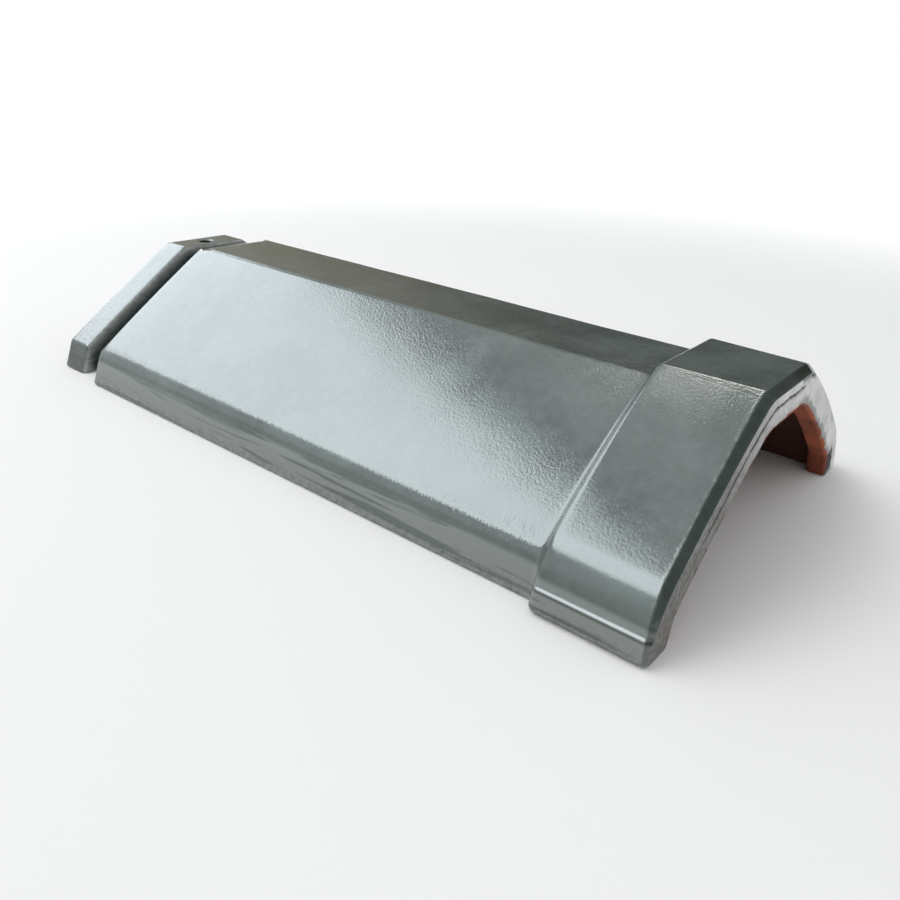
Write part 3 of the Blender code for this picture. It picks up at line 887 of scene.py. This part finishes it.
bump = place_node(tree, "ShaderNodeBump", None,
                  {"Strength": 1.0, "Distance": BUMP_UNIT,
                   "Height": mix_value(tree, bare, glaze_height, clay_height)})
tree.links.new(bump.outputs["Normal"], shader.inputs["Normal"])

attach(tile, "root")
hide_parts("ridge_tile")


# The studio: camera, plain floor and soft light.
# A wide panel on the left stands in for the open sky that the glaze mirrors on its near slope.
camera = link_object("camera", bpy.data.cameras.new("camera"))
camera.location = (0.292123, -0.346234, 0.193361)
camera.rotation_euler = (1.197925, -0.057243, 0.679395)
camera.data.sensor_width = 36.0
camera.data.lens = 33.574
camera.data.shift_y = -0.066667
camera.data.clip_start = 0.01
bpy.context.scene.camera = camera

# The floor lies just under the tile's feet, and glows more and more where it runs out of sight.
FLOOR_RADIUS = 9.0
FLOOR_GAP = 0.0003
BLACK, WHITE = (0.0, 0.0, 0.0, 1.0), (1.0, 1.0, 1.0, 1.0)
floor_mesh = bmesh.new()
bmesh.ops.create_circle(floor_mesh, cap_ends=True, segments=96, radius=FLOOR_RADIUS)
floor = object_from("floor", floor_mesh)
floor.location = (0.0, 0.0, -FLOOR_GAP)
floor_material = bpy.data.materials.new("white_floor")
floor_material.use_nodes = True
floor_tree = floor_material.node_tree
floor_shader = floor_tree.nodes["Principled BSDF"]
floor_shader.inputs["Base Color"].default_value = (0.86, 0.86, 0.86, 1.0)
floor_shader.inputs["Roughness"].default_value = 0.9
floor_shader.inputs["Specular IOR Level"].default_value = 0.1
floor_place = place_node(floor_tree, "ShaderNodeTexCoord").outputs["Object"]
floor_reach = place_node(floor_tree, "ShaderNodeVectorMath", {"operation": "LENGTH"},
                         {0: floor_place}).outputs["Value"]
floor_glow = soft_steps(floor_tree, floor_reach, 0.45, 1.6)
floor_tree.links.new(mix_colour(floor_tree, floor_glow, BLACK, WHITE),
                     floor_shader.inputs["Emission Color"])
floor_shader.inputs["Emission Strength"].default_value = 0.6
floor.data.materials.append(floor_material)

TILE_MIDDLE = Vector((0.0, -0.05, 0.05))
PANEL_DISTANCE = 1.8
STRENGTH_SPAN = (-0.6, 0.8)


def panel_axes(azimuth, elevation, turn):
    """Directions to a panel, along it to the right as seen from the tile, and up it, by degrees."""
    azimuth, elevation, turn = (math.radians(angle) for angle in (azimuth, elevation, turn))
    way = Vector((math.cos(elevation) * math.cos(azimuth), math.cos(elevation) * math.sin(azimuth),
                  math.sin(elevation)))
    right = way.cross(Vector((0.0, 0.0, 1.0))).normalized()
    upward = right.cross(way)
    return (way, right * math.cos(turn) + upward * math.sin(turn),
            upward * math.cos(turn) - right * math.sin(turn))


def mirrored_panel(name, axes, box, fades, strengths, colour):
    """A soft-edged glowing panel that shines only in the glaze; box is left, right, bottom, top."""
    way, along, rise = axes
    left, right, bottom, top = box
    side_fade, bottom_fade, top_fade = fades
    mesh = bmesh.new()
    layer = mesh.loops.layers.uv.new("panel")
    corners = [(left - side_fade, bottom - bottom_fade), (right + side_fade, bottom - bottom_fade),
               (right + side_fade, top + top_fade), (left - side_fade, top + top_fade)]
    centre = TILE_MIDDLE + way * PANEL_DISTANCE
    face = mesh.faces.new([mesh.verts.new(centre + along * u + rise * v) for u, v in corners])
    for loop, (u, v) in zip(face.loops, corners):
        loop[layer].uv = (u, v)
    obj = object_from(name, mesh)
    material = bpy.data.materials.new(name)
    material.use_nodes = True
    glow = material.node_tree
    glow.nodes.clear()
    panel_place = place_node(glow, "ShaderNodeUVMap", {"uv_map": "panel"}).outputs[0]
    flat = place_node(glow, "ShaderNodeSeparateXYZ", None, {"Vector": panel_place})
    strength = soft_steps(glow, flat.outputs["X"], *STRENGTH_SPAN, *strengths)
    for axis, low_end, high_end in (("X", left - side_fade, left + side_fade),
                                    ("X", right + side_fade, right - side_fade),
                                    ("Y", bottom - bottom_fade, bottom + bottom_fade * 0.3),
                                    ("Y", top + top_fade, top - top_fade)):
        strength = times(glow, strength, soft_steps(glow, flat.outputs[axis], low_end, high_end))
    shine = place_node(glow, "ShaderNodeEmission", None, {"Color": colour, "Strength": strength})
    place_node(glow, "ShaderNodeOutputMaterial", None, {"Surface": shine.outputs[0]})
    obj.data.materials.append(material)
    obj.visible_camera = False
    obj.visible_diffuse = False
    obj.visible_shadow = False


mirrored_panel("sky_panel", panel_axes(200.0, 43.0, -22.9), (-1.80, 1.45, -0.47, 0.52),
               (0.09, 0.06, 0.20), (9.2, 6.2), (0.87, 0.95, 1.0, 1.0))

# Small bright panels, each for one glint: azimuth, elevation, half width, half height, strength.
GLINT_FADES = (0.03, 0.03, 0.03)
GLINT_COLOUR = (1.0, 0.98, 0.92, 1.0)
for glint_name, azimuth, elevation, width, depth, strength in (
        ("body_glint", 153.6, 68.9, 0.03, 0.025, 21.0),
        ("collar_glint", 147.5, 73.7, 0.04, 0.03, 17.0),
        ("body_edge_glint", 138.5, 44.3, 0.10, 0.05, 2.5),
        ("upper_edge_glint", 105.5, 40.0, 0.22, 0.17, 9.0),
        ("lower_edge_glint", 126.6, 68.9, 0.12, 0.09, 12.0),
        ("groove_glint", -90.0, 68.0, 0.20, 0.14, 8.0)):
    mirrored_panel(glint_name, panel_axes(azimuth, elevation, 0.0), (-width, width, -depth, depth),
                   GLINT_FADES, (strength, strength), GLINT_COLOUR)

# The key light, which shines on the clay and the floor but isn't mirrored.
KEY_DISTANCE = 1.9
KEY_GLOW = 2.4
key = bpy.data.lights.new("soft_key", "AREA")
key.shape = "RECTANGLE"
key.size, key.size_y = 1.8, 1.2
key.energy = KEY_GLOW * math.pi * key.size * key.size_y
soft_key = link_object("soft_key", key)
key_way = panel_axes(215.0, 55.0, 0.0)[0]
soft_key.location = TILE_MIDDLE + key_way * KEY_DISTANCE
soft_key.rotation_euler = key_way.to_track_quat("Z", "Y").to_euler()
soft_key.visible_glossy = False

# The room: white to the camera, evenly soft on the clay, and uneven where the glaze mirrors it.
SKY_DIRECTION = tuple(Vector((-0.61, -0.36, 0.71)).normalized())
SOFT_LIGHT = (0.98, 0.99, 1.0, 1.0)
ROOM_TONES = ((0.22, (0.020, 0.016, 0.011, 1.0)), (0.50, (0.20, 0.175, 0.128, 1.0)),
              (0.84, (0.40, 0.45, 0.45, 1.0)), (0.97, (0.74, 0.82, 0.82, 1.0)))
world = bpy.data.worlds.new("studio")
world.use_nodes = True
bpy.context.scene.world = world
sky = world.node_tree
sky.nodes.clear()
looked_at = place_node(sky, "ShaderNodeTexCoord").outputs["Generated"]
towards_sky = place_node(sky, "ShaderNodeVectorMath", {"operation": "DOT_PRODUCT"},
                         {0: looked_at, 1: SKY_DIRECTION}).outputs["Value"]
ramp = place_node(sky, "ShaderNodeValToRGB", None,
                  {"Fac": soft_steps(sky, towards_sky, -0.2, 1.0)})
tones = ramp.color_ramp
tones.interpolation = "EASE"
tones.elements[0].position, tones.elements[0].color = ROOM_TONES[0]
tones.elements[1].position, tones.elements[1].color = ROOM_TONES[-1]
for place, colour in ROOM_TONES[1:-1]:
    tones.elements.new(place).color = colour
white, soft, mirrored = (
    place_node(sky, "ShaderNodeBackground", None, {"Color": colour, "Strength": strength})
    for colour, strength in ((WHITE, 1.0), (SOFT_LIGHT, 0.75), (ramp.outputs["Color"], 2.0)))
rays = place_node(sky, "ShaderNodeLightPath")
unlike_glossy = place_node(sky, "ShaderNodeMixShader", None, {
    0: rays.outputs["Is Glossy Ray"], 1: soft.outputs[0], 2: mirrored.outputs[0]})
shown = place_node(sky, "ShaderNodeMixShader", None, {
    0: rays.outputs["Is Camera Ray"], 1: unlike_glossy.outputs[0], 2: white.outputs[0]})
place_node(sky, "ShaderNodeOutputWorld", None, {"Surface": shown.outputs[0]})
bpy.context.scene.view_settings.view_transform = "Standard"
